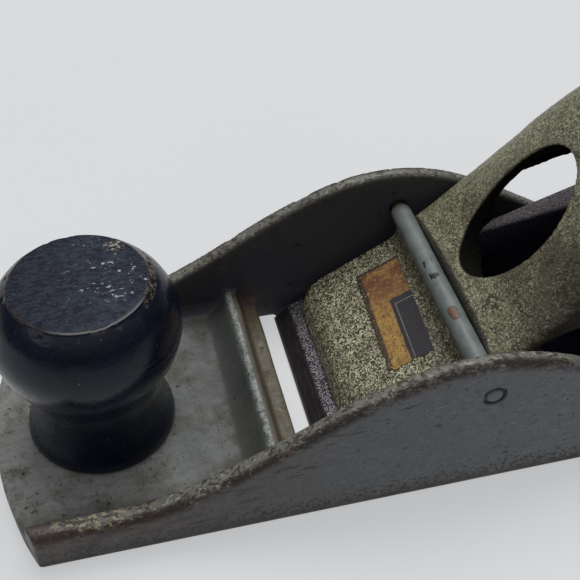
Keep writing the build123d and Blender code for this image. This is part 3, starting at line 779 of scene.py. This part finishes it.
def build_rod():
    """Cross rod: a slightly uneven painted pin with rounded ends."""
    tenon = [(0.0, 0.02), (1.0, 0.03), (1.28, 0.10), (1.42, 0.26), (TENON_RADIUS, 0.5)]
    taper = [(TENON_RADIUS, -0.02), (1.55, 0.0), (1.66, 0.25), (1.78, 0.55), (1.88, 0.9), (1.95, 1.3)]
    end = [(r, z - BODY_HALF_WIDTH) for r, z in tenon] + [(r, z - ROD_SHOULDER) for r, z in taper]
    straight = ROD_SHOULDER - 1.8
    length = [(ROD_RADIUS, z) for z in np.linspace(-straight, straight, 180)]
    rod = lathe("cross_rod_pin", end + length + [(r, -z) for r, z in reversed(end)], 56)
    v = points_of(rod)
    middle = np.abs(v[:, 2]) < 22.3
    swell = fractal(v * np.array([1, 1, 0.5]), 0.5, 3) * 0.035
    radial = v * np.array([1, 1, 0]) / np.maximum(np.linalg.norm(v[:, :2], axis=1), 0.5)[:, None]
    v += radial * np.where(middle, swell - 0.03, -0.012)[:, None]
    turned = np.stack([v[:, 0] + ROD_X, v[:, 2], -v[:, 1] + ROD_Z], 1)
    set_points(rod, turned)
    return rod


def build_cutter():
    """Flat iron with a ground bevel, rounded upper corners and softened edges."""
    run = CUTTER_THICK / math.tan(BEVEL_ANGLE)
    half, corner = CUTTER_WIDTH / 2, 7.0
    straight = CUTTER_LENGTH - corner
    rows = [(0.0, half, 0.0)] + [(s, half, CUTTER_THICK) for s in np.linspace(run, straight, 40)]
    for a in np.radians(np.linspace(6, 90, 15)):
        rows.append((straight + corner * math.sin(a), half - corner * (1 - math.cos(a)), CUTTER_THICK))
    columns = 25
    across = np.linspace(-1, 1, columns)
    points = [(s, width * a, thick) for s, width, thick in rows for a in across]
    points += [(s, width * a, 0.0) for s, width, _ in rows for a in across]
    iron = clean(sheet("cutter_iron", points, columns), merge=True)
    iron.data.transform(bed_matrix(0, 0))
    soften = iron.modifiers.new("edges", "BEVEL")
    soften.width = 0.12 * MM
    soften.segments = 2
    soften.limit_method = "ANGLE"
    soften.angle_limit = math.radians(24)
    soften.harden_normals = True
    bake(iron)
    return iron


# slices of the palm dome: x, half width, z of its open edge, z of its crown
DOME = (
    (-6.6, 20.5, 21.6, 25.6),
    (-2.6, 20.5, 24.6, 29.6),
    (2.4, 20.5, 28.6, 36.2),
    (8.4, 20.5, 31.0, 45.8),
    (14.4, 20.5, 32.6, 54.6),
    (21.4, 20.5, 34.4, 60.2),
    (29.4, 19.9, 36.2, 60.2),
    (37.4, 18.0, 37.8, 55.4),
    (43.4, 14.8, 39.0, 49.2),
    (47.4, 11.0, 39.8, 44.6),
)
ARCH_POWER = 2.2
SHELL_THICK = 2.4


def dome_solid(name, stations):
    """Closed loft of arch-shaped slices."""
    rows = curve(stations, 6)
    power = 2 / ARCH_POWER
    angles = np.linspace(0, math.pi, 61)
    c = np.cos(angles)
    points = []
    for x, half, low, crown in rows:
        y = half * np.sign(c) * np.abs(c) ** power
        z = low + (crown - low) * np.abs(np.sin(angles)) ** power
        points.append(np.stack([np.full_like(y, x), y, z], 1))
    columns, count = len(angles), len(rows)
    faces = grid_faces(count, columns, True)
    last = count * columns - 1
    faces += [tuple(range(columns)), tuple(range(last, last - columns, -1))]
    return clean(mesh_from(name, np.concatenate(points), faces, flat=True))


def inner_stations():
    """The dome's slices moved inwards by the thickness of its wall."""
    inner = []
    for i in range(2, len(DOME) - 1):
        x, half, low, crown = DOME[i]
        run, rise = DOME[i + 1][0] - DOME[i - 1][0], DOME[i + 1][3] - DOME[i - 1][3]
        share = SHELL_THICK / math.hypot(run, rise)
        inner.append((x + share * rise, half - SHELL_THICK, low - 3, crown - share * run))
    return inner


def depth_in_dome(v):
    """Rough distance of each point inside the dome's outer surface."""
    stations = np.array(DOME)
    half, low, crown = (np.interp(v[:, 0], stations[:, 0], stations[:, k]) for k in (1, 2, 3))
    across = np.abs(v[:, 1]) / half
    up = clamp((v[:, 2] - low) / (crown - low), 0, 2)
    reach = (across ** ARCH_POWER + up ** ARCH_POWER) ** (1 / ARCH_POWER)
    return (1 - reach) * np.minimum(half, crown - low)


def cap_nose_outline():
    """X-Z outline of the front plate, from the bearing edge to the root of the dome."""
    lip, heel = (
        bed_point((NOSE_X + back - EDGE_X) / math.cos(BED_ANGLE), CUTTER_THICK + 0.05)
        for back in (0.66, 4.9)
    )
    nose = curve([lip, (-28.3, 5.9), (-27.4, 7.9), PLATE_START], 8)
    saddle = curve([PLATE_END, (-9.8, 19.0), (-9.4, 21.2)], 5)
    back = [(-6.4, 22.4), (0.9, 27.2), (1.6, 24.4)]
    under = curve([(1.6, 24.4), (-1.6, 20.6), (-5.4, 17.6), (-10.4, 14.2)], 6)[1:]
    return [heel] + nose + saddle + back + under


def build_lever_cap():
    """Cast cap: plate and nose, hollow palm dome with its thumb hole, and the threaded bridge."""
    cap = dome_solid("lever_cap_casting", DOME)
    combine(cap, dome_solid("inner", inner_stations()), "DIFFERENCE")
    plate = extrude_profile("plate", cap_nose_outline())
    combine(plate, plate_plan(), "INTERSECT")
    combine(cap, plate, "UNION")
    bridge = bridge_block()
    within = [(x, half - 1, low - 2, crown - 1) for x, half, low, crown in DOME]
    combine(bridge, dome_solid("within", within), "INTERSECT")
    combine(cap, bridge, "UNION")
    for hole in (thumb_hole(), seat_bore(), screw_bore()):
        combine(cap, hole, "DIFFERENCE")
    remesh(cap, 0.34, 3)
    v, n = points_of(cap), normals_of(cap)
    texture = fractal(v, 0.9, 3) * 0.05 + fractal(v + 50, 0.16, 2) * 0.10
    flat = smooth(v[:, 0], -8.0, -10.5) * smooth(n[:, 2], 0.75, 0.85)
    bearing = smooth(v[:, 0], -23.0, -24.5) * smooth(n[:, 2], -0.6, -0.8)
    near_rod = smooth(np.hypot(v[:, 0] - ROD_X, v[:, 2] - ROD_Z), 2.6, 2.2)
    v += n * ((texture - 0.03) * (1 - 0.75 * flat) * (1 - bearing) * (1 - near_rod))[:, None]
    set_points(cap, v)
    depth = depth_in_dome(v)
    # inner: the unpainted inside of the dome, plus painted shade on faces of dome and plate turned downwards
    hidden = np.maximum(smooth(depth, 0.25, 0.9), smooth(n[:, 2], -0.15, -0.5) * (v[:, 0] > -6.0))
    store(cap, "inner", np.where(v[:, 0] > -5.6, hidden, smooth(n[:, 2], -0.3, -0.6)))
    store(cap, "edge", smooth(depth, 0.05, 0.25) * smooth(depth, 1.0, 0.4) * (v[:, 0] > -4.5))
    return cap


def plate_plan():
    """Upright prism with the front plate's rounded corners in plan."""
    front, rear, half, corner = -29.4, 30.0, CAP_HALF_WIDTH, 5.5
    outline = [(rear, -half)] + arc((front + corner, -half + corner), corner, 270, 180, 12)
    outline += arc((front + corner, half - corner), corner, 180, 90, 12) + [(rear, half)]
    return prism("plan", *([(x, y, z) for x, y in outline] for z in (-5.0, 80.0)))


def cylinder(name, radius, low, high):
    return lathe(name, [(0, low), (radius, low), (radius, high), (0, high)], 64)


def on_screw(obj):
    """Moves an object made about Z to the screw's axis."""
    obj.data.transform(bed_matrix(SCREW_STATION, CUTTER_THICK))
    return obj


def bridge_block():
    """Bar across the inside of the dome, with a boss around the screw."""
    low, high, half, boss_radius, boss_rise = 12.6, 17.8, 5.0, 6.5, 1.4
    corners = [(-half, low), (half, low), (half, high), (-half, high)]
    block = extrude_profile("bridge", corners)
    combine(block, cylinder("boss", boss_radius, low, high + boss_rise), "UNION")
    return on_screw(block)


def thumb_hole():
    """Egg-shaped prism square to the front slope of the dome."""
    slope, reach = math.radians(56.0), 9.0
    outline = [(13.4 * math.cos(a), 8.2 * math.sin(a)) for a in circle(72)]
    inside = [(x * 1.04, y * 1.12, -reach) for x, y in outline]
    hole = prism("hole", inside, [(x, y, reach) for x, y in outline])
    hole.data.transform(sloped(HOLE_CENTRE, math.cos(slope), math.sin(slope)))
    return hole


def seat_bore():
    bore = cylinder("seat", ROD_RADIUS + 0.05, -40, 40)
    turn = Matrix.Rotation(math.pi / 2, 4, "X")
    bore.data.transform(Matrix.Translation(Vector((ROD_X, 0, ROD_Z)) * MM) @ turn)
    return bore


def screw_bore():
    return on_screw(cylinder("screw_bore", SCREW_RADIUS + 0.08, -30, 30))


def threaded(name, radius, root, pitch, low, high):
    """Rod with a real helical thread between two heights."""
    steps = int((high - low) / (pitch / 12)) + 1
    angles = circle(48)
    rings = [ring(ON_AXIS, low, angles)]
    for z in np.linspace(low, high, steps):
        phase = (z / pitch - angles / (2 * math.pi)) % 1.0
        cut = clamp(1.35 - np.abs(phase - 0.5) * 3.6)
        fade = min(smooth(z, low, low + pitch), smooth(z, high, high - pitch))
        taper = 0.5 * (1 - min(smooth(z, low - 0.01, low + 0.5), smooth(z, high + 0.01, high - 0.5)))
        rings.append(ring(radius - (radius - root) * cut * fade - taper, z, angles))
    rings.append(ring(ON_AXIS, high, angles))
    return mesh_from(name, np.concatenate(rings), grid_faces(len(rings), len(angles), True))


def build_screw():
    """Clamping screw: thread, plain neck inside the wheel and a rounded pressure pad."""
    screw = threaded("clamp_screw_thread", SCREW_RADIUS, 3.0, SCREW_PITCH, 8.5, 20.45)
    pad = lathe("pad", [
        (0, 0.05), (3.9, 0.05), (4.3, 0.16), (4.45, 0.42),
        (4.45, 1.3), (4.2, 1.52), (3.6, 1.58), (0, 1.58),
    ], 64)
    clean(screw, [pad, cylinder("neck", 3.48, 1.2, 9.2)], merge=True)
    return on_screw(screw)


def build_wheel():
    """Finger wheel with a diamond-knurled edge, dished face and raised hub."""
    low, high, outer, bore, ridges = 1.65, 7.6, 11.2, 3.53, 36
    under = [(bore, low + 0.15), (3.8, low), (9.0, low), (9.9, low + 0.05), (10.5, low + 0.35)]
    edge = [(outer, z) for z in np.linspace(low + 0.9, high - 0.9, 24)]
    face = [(10.5, high - 0.35), (10.0, high), (9.3, high - 0.05), (8.8, high - 0.7), (6.3, high - 0.75)]
    hub = [(5.6, high - 0.2), (5.45, high + 0.65), (5.1, high + 0.88), (3.8, high + 0.9), (bore, high + 0.75)]
    profile = under + edge + face + hub + under[:1]
    angles = circle(360)
    rings = []
    for radius, z in profile:
        if radius == outer:
            # two families of slanting grooves that cross
            a, b = (np.abs((angles * ridges / math.pi + way * z * 0.62) % 2 - 1) for way in (1, -1))
            radius = radius - 0.42 * np.maximum(1 - 2.4 * np.minimum(a, b), 0)
        rings.append(ring(radius, z, angles))
    faces = grid_faces(len(profile), len(angles), True)
    wheel = clean(mesh_from("clamp_wheel_knurled", np.concatenate(rings), faces), merge=True)
    return on_screw(wheel)


LABEL_LENGTH, LABEL_WIDTH = 24.3, 9.2
LABEL_Y, LABEL_START, LABEL_TURN = 3.3, 7.3, math.radians(-3.0)
TORN = 0.3


def build_label():
    """Thin printed sheet with worn, ragged edges and a torn near end."""
    columns, rows = 56, 150
    points, across, along = [], [], []
    for face, v, u in product((0.15, 0.03), np.linspace(0, 1, rows), np.linspace(0, 1, columns)):
        across.append(u)
        along.append(v)
        x, y = (u - 0.5) * LABEL_WIDTH, (v - 0.5) * LABEL_LENGTH
        tear = TORN + noise.fractal((x * 0.55, 7.0, 1.0), 1.0, 2.0, 4) * 0.7
        y += max(tear, 0.05) * (1 - v) ** 3
        side = noise.fractal((y * 0.5, math.copysign(5.0, x), 2.0), 1.0, 2.0, 4)
        x *= 1 - max(abs(u - 0.5) - 0.42, 0) * (0.12 + max(side, 0) * 0.9)
        points.append((x, y, face))
    label = sheet("cap_label_sheet", points, columns)
    store(label, "across", across)
    store(label, "along", along)
    length = math.dist(PLATE_START, PLATE_END)
    c, s = ((b - a) / length for a, b in zip(PLATE_START, PLATE_END))
    middle = LABEL_START + LABEL_WIDTH / 2
    place = sloped((PLATE_START[0] + c * middle, LABEL_Y, PLATE_START[1] + s * middle), c, s)
    label.data.transform(place @ Matrix.Rotation(LABEL_TURN, 4, "Z"))
    return label


def build_knob():
    """Turned knob with a dented top edge, small nicks and faint turning marks."""
    bore = [(0.0, 24.2), (3.28, 24.2), (3.28, 4.42)]
    foot = [(11.9, 4.42), (12.25, 4.46), (12.7, 4.75), (12.9, 5.4), (12.7, 6.6)]
    side = curve([
        (12.7, 6.6), (11.75, 9.8), (11.3, 14.2), (11.75, 17.4), (12.9, 20.3), (14.55, 23.6),
        (15.5, 27.6), (15.3, 31.0), (14.1, 34.2), (12.75, 36.2), (11.3, 37.6),
    ], 16)
    edge = [(11.18, 37.78), (11.06, 37.93), (10.9, 38.03), (10.65, 38.08)]
    top = [(radius, 38.1) for radius in (9.8, *range(9, -1, -1))]
    knob = lathe("front_knob_turned", bore + foot + side + edge + top, 240)
    v, n = points_of(knob), normals_of(knob)
    radius = np.hypot(v[:, 0], v[:, 1])
    on_edge = smooth(v[:, 2], 36.2, 37.4) * smooth(radius, 10.0, 10.8)
    dents = smooth(fractal(v, 0.42, 3), 0.2, 0.8) * 0.2
    v -= n * (dents * on_edge)[:, None]
    v += n * (fractal(v + 30, 0.14, 2) * 0.06)[:, None]
    v[:, 2] = np.clip(v[:, 2], FLOOR_TOP + 0.02, 38.15)
    v[:, 0] += KNOB_X
    set_points(knob, v)
    return knob


def build_stud():
    stud = threaded("knob_stud_thread", 3.2, 2.75, 1.3, 1.45, 23.95)
    stud.data.transform(Matrix.Translation((KNOB_X * MM, 0, 0)))
    return clean(stud, merge=True)


# ---- scene

def build_floor():
    size = 1500.0
    corners = [(-size, -size, 0), (size, -size, 0), (size, size, 0), (-size, size, 0)]
    floor = mesh_from("floor", corners, [(0, 1, 2, 3)])
    floor.location.z = -0.02 * MM
    p = Paint("pale_floor")
    cloud = p.noise(160.0, 2.0, 0.5)
    tone = p.mix(cloud, (128, 130, 132), (136, 138, 140))
    p.fill(p.bsdf, Emission_Color=(0.98, 0.99, 1.0, 1.0), Emission_Strength=0.45)
    floor.data.materials.append(p.finish(tone, 0.7, p.noise(1.2, 2.0, 0.5), 0.01, specular=0.2))


def add_light(name, location, size, power):
    """Soft rectangular light, in metres, aimed at the plane."""
    light = bpy.data.lights.new(name, "AREA")
    light.shape = "RECTANGLE"
    light.size, light.size_y = size
    light.energy = power
    obj = add_object(name, light)
    obj.location = location
    aim = Vector((0, 0, 0.02)) - Vector(location)
    obj.rotation_euler = aim.to_track_quat("-Z", "Y").to_euler()


def add_camera():
    """Camera above the toe, at the near side, looking down along the plane."""
    data = bpy.data.cameras.new("camera")
    data.sensor_width = 36.0
    data.lens = 58.74
    data.clip_start = 0.01
    camera = add_object("camera", data)
    place = Vector((-65.85, -109.58, 140.53)) * MM
    right = Vector((0.97008, -0.24180, 0.02204)).normalized()
    ahead = Vector((0.18738, 0.68781, -0.70129)).normalized()
    up = right.cross(ahead).normalized()
    turn = Matrix((right, up, -ahead)).transposed()
    camera.matrix_world = Matrix.Translation(place) @ turn.to_4x4()
    bpy.context.scene.camera = camera


def set_world():
    """Soft room light, bright overhead and dim near the horizon, before a pale backdrop."""
    world = bpy.data.worlds.new("studio")
    world.use_nodes = True
    nodes, link = world.node_tree.nodes, world.node_tree.links.new
    split = nodes.new("ShaderNodeSeparateXYZ")
    link(nodes.new("ShaderNodeTexCoord").outputs["Generated"], split.inputs[0])
    ramp = nodes.new("ShaderNodeValToRGB")
    link(split.outputs[2], ramp.inputs[0])
    low, high = ramp.color_ramp.elements
    low.position, low.color = 0.35, (0.10, 0.10, 0.105, 1)
    high.position, high.color = 0.95, (0.72, 0.73, 0.75, 1)
    backdrop = nodes.new("ShaderNodeMix")
    backdrop.data_type = "RGBA"
    backdrop.inputs[7].default_value = (0.66, 0.67, 0.69, 1)
    link(nodes.new("ShaderNodeLightPath").outputs["Is Camera Ray"], backdrop.inputs["Factor"])
    link(ramp.outputs[0], backdrop.inputs[6])
    link(backdrop.outputs[2], nodes["Background"].inputs["Color"])
    bpy.context.scene.world = world
    bpy.context.scene.view_settings.view_transform = "Standard"


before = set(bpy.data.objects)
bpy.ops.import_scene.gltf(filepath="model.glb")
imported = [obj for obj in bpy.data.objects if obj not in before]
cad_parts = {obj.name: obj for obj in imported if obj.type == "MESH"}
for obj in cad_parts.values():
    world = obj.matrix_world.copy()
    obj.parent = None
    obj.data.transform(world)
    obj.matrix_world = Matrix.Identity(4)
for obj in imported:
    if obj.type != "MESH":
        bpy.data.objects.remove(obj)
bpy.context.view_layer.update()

PIECES = (
    (build_body, body_enamel, "plane_body", "body", "grey_enamel"),
    (build_rod, rod_enamel, "plane_body", "cross_rod", "rod_enamel"),
    (build_knob, black_lacquer, "plane_body", "front_knob", "black_lacquer"),
    (build_stud, plain_steel, "plane_body", "knob_stud", "plain_steel"),
    (build_cutter, dark_steel, "cutter", "cutter", "dark_tool_steel"),
    (build_lever_cap, hammered_enamel, "lever_cap", "lever_cap", "hammered_enamel"),
    (build_label, printed_label, "lever_cap", "cap_label", "printed_label"),
    (build_screw, plain_steel, "clamp_screw", "cap_screw", "plain_steel"),
    (build_wheel, plain_steel, "clamp_wheel", "cap_wheel", "plain_steel"),
)
for build, paint, body_name, node_name, slot_name in PIECES:
    piece = build()
    piece.data.materials.append(paint())
    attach(piece, body_name)
    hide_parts(node_name)

build_floor()
set_world()
add_camera()
add_light("key", (0.15, 0.40, 1.15), (0.8, 0.6), 9.4)
add_light("fill", (-0.8, -0.2, 0.9), (0.6, 0.6), 0.8)
